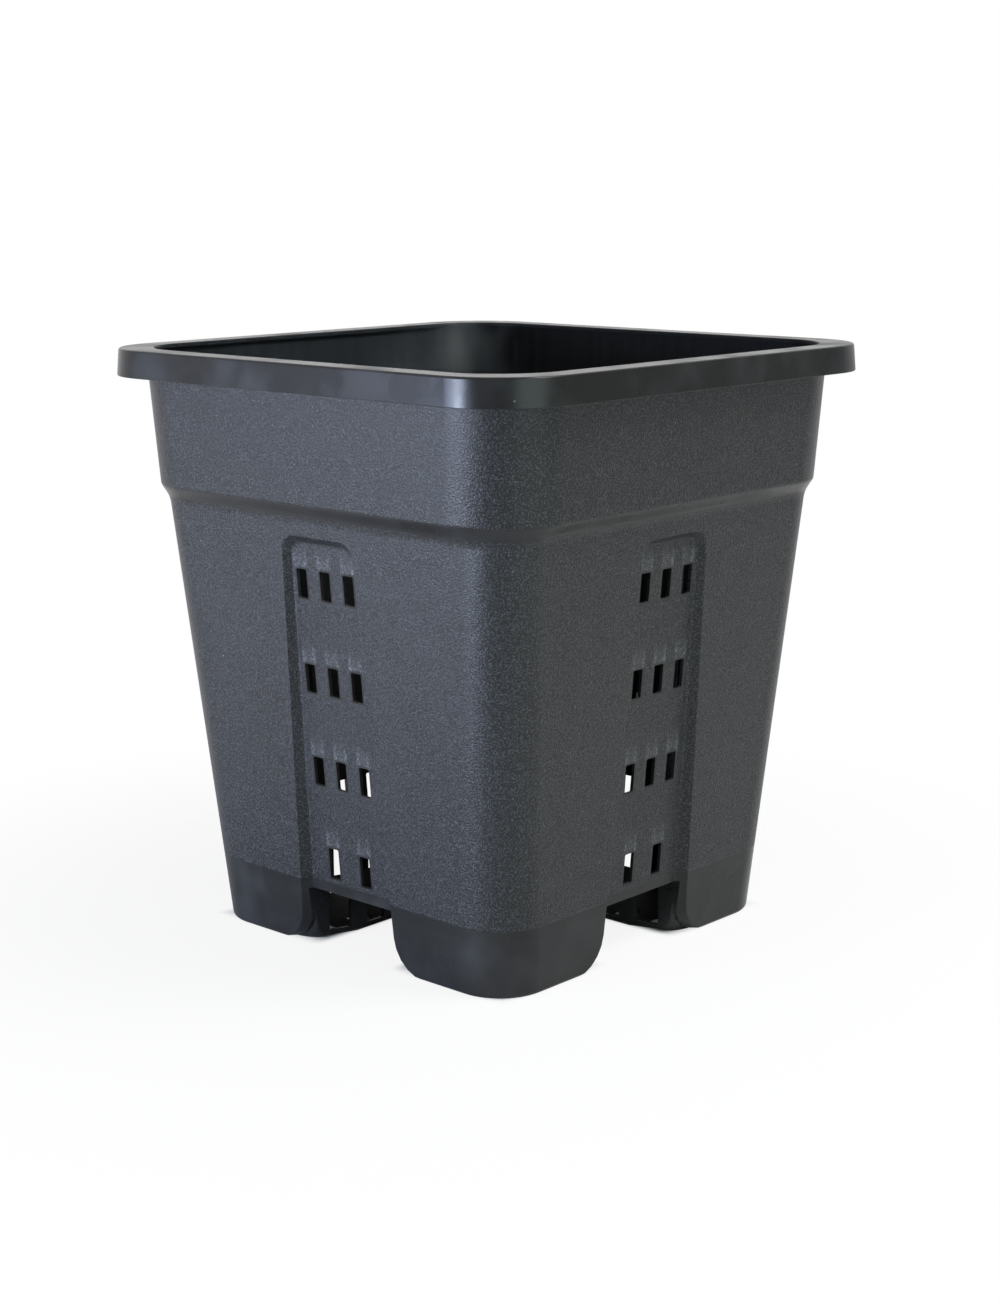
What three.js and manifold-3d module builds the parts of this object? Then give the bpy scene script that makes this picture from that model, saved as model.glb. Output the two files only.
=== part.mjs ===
import * as THREE from 'three';
import { mergeVertices } from 'three/addons/utils/BufferGeometryUtils.js';
import Module from 'manifold-3d';

// An air pruning pot: a square, tapered nursery pot on four hollow feet, moulded in one piece.
// Millimetres, +Z up. The origin is on the ground under the pot's middle.
// The front face looks along -Y and the right face along +X.

// Body
const POT_HEIGHT = 300;
const WALL = 1.8;
const BODY_GROUND_WIDTH = 209.2;
const BODY_TOP_WIDTH = 246.2;
const BODY_TOP_HEIGHT = 224.25;
const BODY_CORNER_RADIUS = 26;
const GROUND_EDGE_RADIUS = 2;

// Collar and the shoulder under it
const SHOULDER_HEIGHT = 7;
const COLLAR_LOW_WIDTH = 259.2;
const COLLAR_TOP_WIDTH = 267.2;
const COLLAR_CORNER_RADIUS = 38;

// Rim: a flat flange with a lip turned down round it
const RIM_OVERHANG = 9.5;
const LIP_FLARE = 0.8;
const RIM_CORNER_RADIUS = 38;
const RIM_DEPTH = 13.7;
const LIP_THICKNESS = 1.8;
const FLANGE_THICKNESS = 2;
const RIM_EDGE_RADIUS = 1.2;
const MOUTH_BEAD = 2.8;

// Vent channels, one down the middle of each side
const CHANNEL_TOP_HEIGHT = 214.8;
const CHANNEL_TOP_WIDTH = 48.8;
const CHANNEL_GROUND_WIDTH = 64.8;
const CHANNEL_TOP_DEPTH = 3.8;
const CHANNEL_GROUND_DEPTH = 5.3;
const CHANNEL_SIDE_LEAN = 3;
const CHANNEL_CORNER_RADIUS = 8;

// Air slots in the channels
const SLOT_WIDTH = 6.9;
const SLOT_HEIGHT = 14.7;
const SLOT_PITCH = 16.2;
const SLOT_COLUMNS = 3;
const SLOT_ROWS = 3;
const SLOT_ROW_PITCH = 48.1;
const LOW_SLOT_HEIGHT = 16;
const LOW_ROW_HEIGHT = 46.3;
const LOW_ROW_PITCH = 22.1;
const LOW_ROW_COLUMNS = 2;

// Raised floor over a cross-shaped air gap, which parts the four feet
const AIR_GAP_HEIGHT = 30;
const AIR_GAP_WIDTH = 50;
const AIR_GAP_MOUTH_WIDTH = 60;
const MOUTH_DEPTH = 17;
const MOUTH_TAPER = 14;
const FOOT_CORNER_RADIUS = 18;
const FOOT_CORNER_DEPTH = 14;
const FOOT_EDGE_RADIUS = 2.6;
const FLOOR_SLOT_WIDTH = 6.9;
const FLOOR_SLOT_LENGTH = 14.7;
const FLOOR_SLOT_PITCH = 13;
const FLOOR_SLOT_ROWS = 2;
const FLOOR_SLOT_ROW_PITCH = 24;
const FLOOR_SLOT_START = 42;

// Slots in the feet: in the sides that face the air gap, and beside them in the bottoms
const FOOT_SLOT_WIDTH = 12.2;
const FOOT_SLOT_SILL = 3.5;
const FOOT_SLOT_TOP = 24;
const FOOT_SLOT_PITCH = 22.2;
const FOOT_SLOT_COUNT = 2;
const FOOT_SLOT_START = 20.6;
const DRAIN_SLOT_SETBACK = 7.5;
const DRAIN_SLOT_LENGTH = 12;

// Where the one moulding is parted into its zones
const CHANNEL_ZONE_MARGIN = 3;
const PANEL_ZONE_MARGIN = 0.6;

// How finely round stretches are made, and how far cutters pass a face
const CORNER_STEPS = 6;
const ARC_STEPS = 4;
const OVERSHOOT = 12;
const FACE_CLEARANCE = 1;

// Places worked out from the sizes
const floorTop = AIR_GAP_HEIGHT + WALL;
const collarHeight = BODY_TOP_HEIGHT + SHOULDER_HEIGHT;
const flangeUnderside = POT_HEIGHT - FLANGE_THICKNESS;
const lipLowHeight = POT_HEIGHT - RIM_DEPTH;
const lipTopHalf = COLLAR_TOP_WIDTH / 2 + RIM_OVERHANG;
const lipLowHalf = lipTopHalf + LIP_FLARE;
const halfSpan = lipLowHalf + OVERSHOOT;
const channelZoneHalf = CHANNEL_GROUND_WIDTH / 2 + WALL + CHANNEL_ZONE_MARGIN;
const panelZoneFace = channelBack(AIR_GAP_HEIGHT) - WALL - PANEL_ZONE_MARGIN;

const plastic = new THREE.MeshStandardMaterial({ color: 0x2c3035, roughness: 0.6, metalness: 0 });
const satinPlastic = new THREE.MeshStandardMaterial({ color: 0x2f3338, roughness: 0.4, metalness: 0 });

const wasm = await Module();
wasm.setup();

function mix(low, high, share) {
  return low + (high - low) * share;
}

// Half width of the lower body's outside at a height.
function bodyHalf(height) {
  return mix(BODY_GROUND_WIDTH, BODY_TOP_WIDTH, height / BODY_TOP_HEIGHT) / 2;
}

// Half width of the collar's outside at a height.
function collarHalf(height) {
  const share = (height - collarHeight) / (POT_HEIGHT - collarHeight);
  return mix(COLLAR_LOW_WIDTH, COLLAR_TOP_WIDTH, share) / 2;
}

// Half width of a vent channel at the outside face, which widens towards the ground.
function channelHalf(height) {
  return mix(CHANNEL_GROUND_WIDTH, CHANNEL_TOP_WIDTH, height / CHANNEL_TOP_HEIGHT) / 2;
}

function channelDepth(height) {
  return mix(CHANNEL_GROUND_DEPTH, CHANNEL_TOP_DEPTH, height / CHANNEL_TOP_HEIGHT);
}

// Distance of a vent channel's back from the pot's axis.
function channelBack(height) {
  return bodyHalf(height) - channelDepth(height);
}

// A closed geometry through rings of equally many points, capped at both ends.
function skin(rings, flatCap) {
  const count = rings[0].length;
  const triangles = THREE.ShapeUtils.triangulateShape(flatCap, []);
  const indices = [];
  for (let ring = 0; ring + 1 < rings.length; ring += 1) {
    for (let point = 0; point < count; point += 1) {
      const next = (point + 1) % count;
      const low = ring * count;
      const high = low + count;
      indices.push(low + point, low + next, high + next);
      indices.push(low + point, high + next, high + point);
    }
  }
  const last = (rings.length - 1) * count;
  for (const [a, b, c] of triangles) {
    indices.push(a, c, b);
    indices.push(last + a, last + b, last + c);
  }
  const geometry = new THREE.BufferGeometry().setFromPoints(rings.flat());
  geometry.setIndex(indices);
  return geometry;
}

// The outline of a square with rounded corners.
function roundedSquare(half, radius) {
  const shape = new THREE.Shape();
  const middle = half - radius;
  shape.absarc(middle, middle, radius, 0, Math.PI / 2, false);
  shape.absarc(-middle, middle, radius, Math.PI / 2, Math.PI, false);
  shape.absarc(-middle, -middle, radius, Math.PI, Math.PI * 1.5, false);
  shape.absarc(middle, -middle, radius, Math.PI * 1.5, Math.PI * 2, false);
  return shape.curves
    .filter((curve) => curve.isEllipseCurve)
    .flatMap((curve) => curve.getPoints(CORNER_STEPS));
}

// A tapered square solid through levels of [height, half width, corner radius].
function taperedSquare(levels) {
  const outlines = levels.map(([, half, radius]) => roundedSquare(half, radius));
  const rings = outlines.map((outline, i) => outline.map((p) => new THREE.Vector3(p.x, p.y, levels[i][0])));
  return toSolid(skin(rings, outlines[0]));
}

function toSolid(geometry) {
  const bare = geometry.clone();
  bare.deleteAttribute('normal');
  bare.deleteAttribute('uv');
  const merged = mergeVertices(bare, 1e-5);
  const vertProperties = new Float32Array(merged.attributes.position.array);
  const triVerts = new Uint32Array(merged.index.array);
  const solid = new wasm.Manifold(new wasm.Mesh({ numProp: 3, vertProperties, triVerts }));
  if (solid.volume() > 0) {
    return solid;
  }
  return new wasm.Manifold(new wasm.Mesh({ numProp: 3, vertProperties, triVerts: triVerts.reverse() }));
}

function toMesh(name, solid, material) {
  const data = solid.getMesh();
  const geometry = new THREE.BufferGeometry();
  geometry.setAttribute('position', new THREE.BufferAttribute(data.vertProperties, 3));
  geometry.setIndex(new THREE.BufferAttribute(data.triVerts, 1));
  geometry.computeVertexNormals();
  const mesh = new THREE.Mesh(geometry, material);
  mesh.name = name;
  return mesh;
}

// A box between two corners, whose faces lie exactly at the given coordinates.
function block([left, front, low], [right, back, high]) {
  const cap = [[left, front], [right, front], [right, back], [left, back]];
  const ring = (height) => cap.map(([x, y]) => new THREE.Vector3(x, y, height));
  return toSolid(skin([ring(low), ring(high)], cap.map(([x, y]) => new THREE.Vector2(x, y))));
}

function joined(solids) {
  return solids.reduce((sum, solid) => sum.add(solid));
}

// The same solid on all four sides, turned from the front.
function onFourSides(solid) {
  return joined([0, 90, 180, 270].map((angle) => solid.rotate([0, 0, angle])));
}

// Outside of the body, shoulder and collar, drawn in by an inset for the inside.
function potEnvelope(inset) {
  const edge = GROUND_EDGE_RADIUS;
  const bodyRadius = BODY_CORNER_RADIUS - inset;
  const collarRadius = COLLAR_CORNER_RADIUS - inset;
  const rise = inset * 0.5;
  const levels = [];
  for (let step = 0; step < ARC_STEPS; step += 1) {
    const angle = (Math.PI / 2) * (step / ARC_STEPS);
    const height = edge * (1 - Math.cos(angle));
    const drawnIn = edge * (1 - Math.sin(angle));
    levels.push([height + inset, bodyHalf(height + inset) - drawnIn - inset, bodyRadius - drawnIn]);
  }
  levels.push([edge + inset, bodyHalf(edge + inset) - inset, bodyRadius]);
  levels.push([BODY_TOP_HEIGHT + rise, bodyHalf(BODY_TOP_HEIGHT) - inset, bodyRadius]);
  levels.push([collarHeight + rise, collarHalf(collarHeight) - inset, collarRadius]);
  const top = POT_HEIGHT + (inset > 0 ? OVERSHOOT : 0);
  levels.push([top, collarHalf(top) - inset, collarRadius]);
  return taperedSquare(levels);
}

// Side view of an air gap as points of [across, height]: upright sides, rounded outward at the ground.
// The inset moves the outline into the material, for the side that faces the soil.
function gapOutline(half, radius, inset) {
  const side = inset > 0 ? [] : [[half + radius, -FACE_CLEARANCE]];
  for (let step = 0; step <= ARC_STEPS; step += 1) {
    const angle = (Math.PI / 2) * (step / ARC_STEPS);
    const across = half + radius - (radius - inset) * Math.sin(angle);
    side.push([across, radius - (radius - inset) * Math.cos(angle)]);
  }
  side.push([half + inset, AIR_GAP_HEIGHT + inset]);
  return side;
}

function bothSides(side) {
  const mirrored = side.map(([across, height]) => [-across, height]).reverse();
  return side.concat(mirrored);
}

// Air gap from the front face to the back face, with a wider mouth and rounder feet at each end.
function airGap(inset) {
  const face = bodyHalf(0);
  const wide = AIR_GAP_MOUTH_WIDTH / 2;
  const narrow = AIR_GAP_WIDTH / 2;
  const footCorner = [];
  for (let step = 0; step <= ARC_STEPS; step += 1) {
    const angle = (Math.PI / 2) * (step / ARC_STEPS);
    const along = mix(channelBack(0), face - FOOT_CORNER_DEPTH, 1 - Math.cos(angle));
    footCorner.push([along, wide, mix(FOOT_CORNER_RADIUS, FOOT_EDGE_RADIUS, Math.sin(angle))]);
  }
  const backHalf = [
    [halfSpan, wide, FOOT_CORNER_RADIUS],
    ...footCorner,
    [face - MOUTH_DEPTH, wide, FOOT_EDGE_RADIUS],
    [face - MOUTH_DEPTH - MOUTH_TAPER, narrow, FOOT_EDGE_RADIUS],
  ];
  const frontHalf = backHalf.map(([along, half, radius]) => [-along, half, radius]);
  const stations = frontHalf.concat(backHalf.reverse());
  const outlines = stations.map(([, half, radius]) => bothSides(gapOutline(half, radius, inset)));
  const rings = outlines.map((outline, i) => outline.map(([u, h]) => new THREE.Vector3(u, stations[i][0], h)));
  return toSolid(skin(rings, outlines[0].map(([u, h]) => new THREE.Vector2(u, h))));
}

// Side view of a vent channel, from its rounded top corners down to its flared foot.
function channelOutline(widening, inset) {
  const flare = FOOT_CORNER_RADIUS;
  const side = inset > 0 ? [] : [[channelHalf(0) + widening + flare, -FACE_CLEARANCE]];
  for (let step = 0; step <= ARC_STEPS; step += 1) {
    const angle = (Math.PI / 2) * (step / ARC_STEPS);
    const height = flare - (flare - inset) * Math.cos(angle);
    const across = channelHalf(height) + widening + flare - (flare - inset) * Math.sin(angle);
    side.push([across, height]);
  }
  const top = CHANNEL_TOP_HEIGHT + widening + inset;
  const round = CHANNEL_CORNER_RADIUS + inset;
  for (let step = 0; step <= ARC_STEPS; step += 1) {
    const angle = (Math.PI / 2) * (step / ARC_STEPS);
    const height = top - round + round * Math.sin(angle);
    side.push([channelHalf(height) + widening + inset - round * (1 - Math.cos(angle)), height]);
  }
  return bothSides(side);
}

// The front vent channel's hollow, or with an inset the space that its wall takes from the inside.
function frontChannel(inset) {
  const back = channelOutline(-CHANNEL_SIDE_LEAN, inset);
  const sideSlope = CHANNEL_SIDE_LEAN / CHANNEL_TOP_DEPTH;
  const front = channelOutline((OVERSHOOT - CHANNEL_TOP_DEPTH) * sideSlope, inset);
  const rings = [
    back.map(([u, h]) => new THREE.Vector3(u, -(channelBack(h) - inset), h)),
    front.map(([u, h]) => new THREE.Vector3(u, -(channelBack(h) + OVERSHOOT), h)),
  ];
  return toSolid(skin(rings, back.map(([u, h]) => new THREE.Vector2(u, h))));
}

// Air slots of the front channel: full rows above, and a shorter row near the ground.
function frontAirSlots() {
  const slots = [];
  for (let row = 0; row <= SLOT_ROWS; row += 1) {
    const columns = row === 0 ? LOW_ROW_COLUMNS : SLOT_COLUMNS;
    const pitch = row === 0 ? LOW_ROW_PITCH : SLOT_PITCH;
    const rise = (row === 0 ? LOW_SLOT_HEIGHT : SLOT_HEIGHT) / 2;
    const height = LOW_ROW_HEIGHT + row * SLOT_ROW_PITCH;
    const outside = channelBack(height) + CHANNEL_TOP_DEPTH;
    const inside = channelBack(height) - WALL - CHANNEL_TOP_DEPTH;
    for (let column = 0; column < columns; column += 1) {
      const across = (column - (columns - 1) / 2) * pitch;
      slots.push(block(
        [across - SLOT_WIDTH / 2, -outside, height - rise],
        [across + SLOT_WIDTH / 2, -inside, height + rise],
      ));
    }
  }
  return joined(slots);
}

// A pair of slots, one in each foot beside the front end of the air gap, between two widths and heights.
function footSlotPair(middle, near, far, low, high) {
  const start = -middle - FOOT_SLOT_WIDTH / 2;
  const end = -middle + FOOT_SLOT_WIDTH / 2;
  return block([near, start, low], [far, end, high]).add(block([-far, start, low], [-near, end, high]));
}

// Slots beside the front end of the air gap: through the feet's sides, and through their bottoms.
function frontFootSlots() {
  const slots = [];
  const side = AIR_GAP_WIDTH / 2 - FACE_CLEARANCE;
  const sideEnd = AIR_GAP_MOUTH_WIDTH / 2 + WALL + FACE_CLEARANCE;
  const drain = AIR_GAP_WIDTH / 2 + DRAIN_SLOT_SETBACK;
  for (let slot = 0; slot < FOOT_SLOT_COUNT; slot += 1) {
    const middle = bodyHalf(0) - FOOT_SLOT_START - slot * FOOT_SLOT_PITCH;
    slots.push(footSlotPair(middle, side, sideEnd, FOOT_SLOT_SILL, FOOT_SLOT_TOP));
    slots.push(footSlotPair(middle, drain, drain + DRAIN_SLOT_LENGTH, -FACE_CLEARANCE, WALL + FACE_CLEARANCE));
  }
  return joined(slots);
}

// Drain slots through the front arm of the raised floor.
function frontFloorSlots() {
  const slots = [];
  for (let row = 0; row < FLOOR_SLOT_ROWS; row += 1) {
    const along = FLOOR_SLOT_START + row * FLOOR_SLOT_ROW_PITCH;
    for (const across of [-FLOOR_SLOT_PITCH, 0, FLOOR_SLOT_PITCH]) {
      slots.push(block(
        [across - FLOOR_SLOT_WIDTH / 2, -along - FLOOR_SLOT_LENGTH / 2, AIR_GAP_HEIGHT - FACE_CLEARANCE],
        [across + FLOOR_SLOT_WIDTH / 2, -along + FLOOR_SLOT_LENGTH / 2, floorTop + FACE_CLEARANCE],
      ));
    }
  }
  return joined(slots);
}

// Body, shoulder and collar as one thin-walled solid.
function pottedShell() {
  const gaps = airGap(0).add(airGap(0).rotate([0, 0, 90]));
  const gapWalls = airGap(WALL).add(airGap(WALL).rotate([0, 0, 90]));
  const soilSpace = potEnvelope(WALL).subtract(onFourSides(frontChannel(WALL))).subtract(gapWalls);
  const openings = joined([frontAirSlots(), frontFootSlots(), frontFloorSlots()]);
  return potEnvelope(0)
    .subtract(soilSpace)
    .subtract(onFourSides(frontChannel(0)))
    .subtract(gaps)
    .subtract(onFourSides(openings));
}

// Part of a solid between two heights.
function between(solid, low, high) {
  return solid.intersect(block([-halfSpan, -halfSpan, low], [halfSpan, halfSpan, high]));
}

// The rim's outside, drawn in by an inset for the lip's inner face.
function rimEnvelope(inset, low, high) {
  const share = (height) => (height - lipLowHeight) / RIM_DEPTH;
  const half = (height) => mix(lipLowHalf, lipTopHalf, share(height)) - inset;
  const radius = RIM_CORNER_RADIUS - inset;
  const edge = inset > 0 ? 0 : RIM_EDGE_RADIUS;
  const levels = [[low, half(low), radius], [high - edge, half(high - edge), radius]];
  if (edge > 0) {
    levels.push([high, half(high) - edge, radius - edge]);
  }
  return taperedSquare(levels);
}

const group = new THREE.Group();

// Rim: the flange on top, with a bead inside the mouth, and the lip hanging from its edge.
const rim = rimEnvelope(0, lipLowHeight, POT_HEIGHT);
const lipInside = rimEnvelope(LIP_THICKNESS, lipLowHeight - FACE_CLEARANCE, flangeUnderside);
const flange = between(rim, flangeUnderside, POT_HEIGHT).subtract(potEnvelope(WALL + MOUTH_BEAD));
const lip = between(rim, lipLowHeight, flangeUnderside).subtract(lipInside);
group.add(toMesh('rim_flange', flange, satinPlastic));
group.add(toMesh('rim_lip', lip, satinPlastic));

// Collar and shoulder.
const shell = pottedShell();
group.add(toMesh('collar', between(shell, collarHeight, flangeUnderside), plastic));
group.add(toMesh('shoulder', between(shell, BODY_TOP_HEIGHT, collarHeight), plastic));

// The cross that the raised floor takes, from a height upwards.
function floorZone(low) {
  const arm = block([-channelZoneHalf, -panelZoneFace, low], [channelZoneHalf, panelZoneFace, floorTop + FACE_CLEARANCE]);
  return arm.add(arm.rotate([0, 0, 90]));
}

// The upright strip that the front vent channel takes, between two heights.
function panelZone(low, high) {
  return block([-channelZoneHalf, -halfSpan, low], [channelZoneHalf, -panelZoneFace, high]);
}

// Raised floor: the cross over the air gap.
group.add(toMesh('raised_floor', shell.intersect(floorZone(AIR_GAP_HEIGHT)), plastic));

// Vent channel panels, one on each side.
const frontPanelZone = panelZone(AIR_GAP_HEIGHT, BODY_TOP_HEIGHT);
['front', 'right', 'back', 'left'].forEach((side, turn) => {
  const panel = shell.intersect(frontPanelZone.rotate([0, 0, turn * 90]));
  group.add(toMesh(`vent_channel_${side}`, panel, plastic));
});

// Corner walls and feet, one of each at every corner.
const wallZone = block([0, -halfSpan, AIR_GAP_HEIGHT], [halfSpan, 0, BODY_TOP_HEIGHT])
  .subtract(onFourSides(panelZone(AIR_GAP_HEIGHT - OVERSHOOT, BODY_TOP_HEIGHT + OVERSHOOT)))
  .subtract(floorZone(AIR_GAP_HEIGHT - OVERSHOOT));
const footZone = block([0, -halfSpan, 0], [halfSpan, 0, AIR_GAP_HEIGHT]);
['front_right', 'back_right', 'back_left', 'front_left'].forEach((corner, turn) => {
  const wall = shell.intersect(wallZone.rotate([0, 0, turn * 90]));
  const foot = shell.intersect(footZone.rotate([0, 0, turn * 90]));
  group.add(toMesh(`corner_wall_${corner}`, wall, plastic));
  group.add(toMesh(`foot_${corner}`, foot, satinPlastic));
});

export default group;
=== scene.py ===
"""An air pruning pot, dressed for rendering: its shell, its rim and their finishes, in a plain studio."""
import math

import bpy
from mathutils import Matrix, Vector


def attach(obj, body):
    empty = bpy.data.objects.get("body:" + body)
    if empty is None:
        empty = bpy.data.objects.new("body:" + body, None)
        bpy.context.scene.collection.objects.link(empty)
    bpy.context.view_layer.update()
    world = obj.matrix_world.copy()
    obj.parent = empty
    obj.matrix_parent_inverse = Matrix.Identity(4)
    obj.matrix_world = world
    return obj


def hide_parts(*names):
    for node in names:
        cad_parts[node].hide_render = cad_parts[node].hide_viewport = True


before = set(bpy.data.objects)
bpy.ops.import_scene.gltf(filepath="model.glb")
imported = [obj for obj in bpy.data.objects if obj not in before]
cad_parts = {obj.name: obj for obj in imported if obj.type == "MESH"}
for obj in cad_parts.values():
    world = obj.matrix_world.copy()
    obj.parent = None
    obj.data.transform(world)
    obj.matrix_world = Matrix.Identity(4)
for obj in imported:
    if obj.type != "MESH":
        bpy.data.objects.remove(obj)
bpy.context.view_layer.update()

# Sizes of the pot in metres, by the names of the shape trees' inputs.
SIZES = {
    "Pot Height": 0.300,
    "Wall": 0.0018,
    "Body Ground Width": 0.2092,
    "Body Top Width": 0.2462,
    "Body Top Height": 0.22425,
    "Body Corner Radius": 0.026,
    "Ground Edge Radius": 0.002,
    "Shoulder Height": 0.007,
    "Collar Low Width": 0.2592,
    "Collar Top Width": 0.2672,
    "Collar Corner Radius": 0.038,
    "Rim Width": 0.2862,
    "Rim Flare": 0.0008,
    "Rim Corner Radius": 0.038,
    "Rim Depth": 0.0137,
    "Rim Edge Radius": 0.0012,
    "Lip Thickness": 0.0018,
    "Flange Thickness": 0.002,
    "Mouth Bead": 0.0028,
    "Channel Top Height": 0.2148,
    "Channel Top Width": 0.0488,
    "Channel Ground Width": 0.0648,
    "Channel Top Depth": 0.0038,
    "Channel Ground Depth": 0.0053,
    "Channel Side Lean": 0.003,
    "Channel Corner Radius": 0.008,
    "Slot Width": 0.0069,
    "Slot Height": 0.0147,
    "Slot Pitch": 0.0162,
    "Slot Row Pitch": 0.0481,
    "Low Slot Height": 0.016,
    "Low Row Height": 0.0463,
    "Low Row Pitch": 0.0221,
    "Gap Height": 0.030,
    "Gap Width": 0.050,
    "Gap Mouth Width": 0.060,
    "Mouth Depth": 0.017,
    "Mouth Taper": 0.014,
    "Foot Corner Radius": 0.018,
    "Foot Corner Depth": 0.014,
    "Foot Edge Radius": 0.0026,
    "Floor Slot Pitch": 0.013,
    "Floor Slot Start": 0.042,
    "Floor Slot Row Pitch": 0.024,
    "Foot Slot Width": 0.0122,
    "Foot Slot Sill": 0.0035,
    "Foot Slot Top": 0.024,
    "Foot Slot Pitch": 0.0222,
    "Foot Slot Start": 0.0206,
    "Drain Slot Setback": 0.0075,
    "Drain Slot Length": 0.012,
}

# Steps round an upright corner and round an edge.
CORNER_STEPS = 14
EDGE_STEPS = 5

# How far a cutting shape passes the pot, and how far it passes the ground or a lip.
REACH = 0.012
CLEARANCE = 0.001

# Where the shell is cut into pieces. A box goes out to BEYOND, well past the pot's sides.
BEYOND = 0.2
PANEL_HALF = 0.0372
PANEL_FACE = 0.09958
WALL_TOP = 0.2205
FLOOR_TOP = 0.0328
RIM_UNDERSIDE = SIZES["Pot Height"] - SIZES["Flange Thickness"]

# Edges sharper than this stay creased, and faces this near to a hollow's sides are inside ones.
CREASE = math.radians(28)
HOLLOW_TOUCH = 0.00012
MERGE_DISTANCE = 0.000004

# Height below which the moulding is smooth, the sloping band under the collar that is smooth too and painted
# darker as shade, and how sharply a texture starts or ends there.
GRAIN_FOOT = 0.0352
SHOULDER_BAND = (0.2246, 0.2312)
TEXTURE_EDGE = 0.0006

# Colours of the plastic outside and inside, and of the grain's painted glints, scuffs, flow marks and dust on
# it.
DARK_PLASTIC = (0.006, 0.0062, 0.0070, 1.0)
PALE_PLASTIC = (0.026, 0.027, 0.030, 1.0)
POLISHED_PLASTIC = (0.0125, 0.0122, 0.0122, 1.0)
# The deepest inside colour is painted shade: the inside is darkened towards it with depth.
SHADED_DEEP_INSIDE = (0.0036, 0.0039, 0.0043, 1.0)
UPPER_INSIDE = (0.024, 0.0262, 0.029, 1.0)
# Painted glints: pale specks in the grain's colour that stand in for light catching its tiny bumps.
PAINTED_GLINT = (0.082, 0.087, 0.097, 1.0)
SCUFF_GREY = (0.22, 0.23, 0.26, 1.0)
FLOW_MARK_GREY = (0.40, 0.42, 0.44, 1.0)
DUST_GREY = (0.5, 0.5, 0.5, 1.0)

# Noise scales, in waves a metre, for the grain's two sizes, the flow marks' speckle and the soft variations.
SAND_SCALE = 1150.0
GRIT_SCALE = 1900.0
SPECKLE_SCALE = 900.0
CLOUD_SCALE = 16.0
SCUFF_SCALE = 30.0
RIPPLE_SCALE = 60.0
DUST_SCALE = 55.0

# How far from a vent panel's middle its flow marks and smooth slot borders start to fade, and have faded out.
PANEL_EDGE = (0.0225, 0.0245)

# The number of the highest row of air slots, counted from 0 at the low row.
LAST_SLOT_ROW = 3.0


class Field:
    """A value in a node tree, so that a rule for a shape or a colour reads as a sum."""

    def __init__(self, tree, socket):
        self.tree = tree
        self.socket = socket

    def __add__(self, other):
        return self.tree.math("ADD", self, other)

    def __radd__(self, other):
        return self.tree.math("ADD", other, self)

    def __sub__(self, other):
        return self.tree.math("SUBTRACT", self, other)

    def __rsub__(self, other):
        return self.tree.math("SUBTRACT", other, self)

    def __mul__(self, other):
        return self.tree.math("MULTIPLY", self, other)

    def __rmul__(self, other):
        return self.tree.math("MULTIPLY", other, self)

    def __truediv__(self, other):
        return self.tree.math("DIVIDE", self, other)

    def __neg__(self):
        return self.tree.math("MULTIPLY", self, -1.0)


class Tree:
    """Adds nodes to a shape tree or a material's tree, and joins them."""

    def __init__(self, group):
        self.group = group

    def feed(self, socket, value):
        if isinstance(value, Field):
            self.group.links.new(value.socket, socket)
        else:
            socket.default_value = value

    def node(self, kind, settings=None, feeds=None):
        node = self.group.nodes.new(kind)
        for name, value in (settings or {}).items():
            setattr(node, name, value)
        for name, value in (feeds or {}).items():
            self.feed(node.inputs[name], value)
        return node

    def value(self, kind, settings=None, feeds=None, out=0):
        return Field(self, self.node(kind, settings, feeds).outputs[out])

    def math(self, operation, *values):
        node = self.node("ShaderNodeMath", {"operation": operation})
        for socket, value in zip(node.inputs, values):
            self.feed(socket, value)
        return Field(self, node.outputs[0])

    def vector(self, x, y, z):
        return self.value("ShaderNodeCombineXYZ", feeds={"X": x, "Y": y, "Z": z})

    def split(self, vector):
        node = self.node("ShaderNodeSeparateXYZ", feeds={"Vector": vector})
        return [Field(self, socket) for socket in node.outputs]

    def clamp(self, value, low=0.0, high=1.0):
        return self.value("ShaderNodeClamp", feeds={"Value": value, "Min": low, "Max": high})

    def ramp(self, value, start, end):
        """0 before start, 1 after end, and smooth between them."""
        return self.value("ShaderNodeMapRange", {"interpolation_type": "SMOOTHSTEP"},
                          {"Value": value, "From Min": start, "From Max": end})


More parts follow.
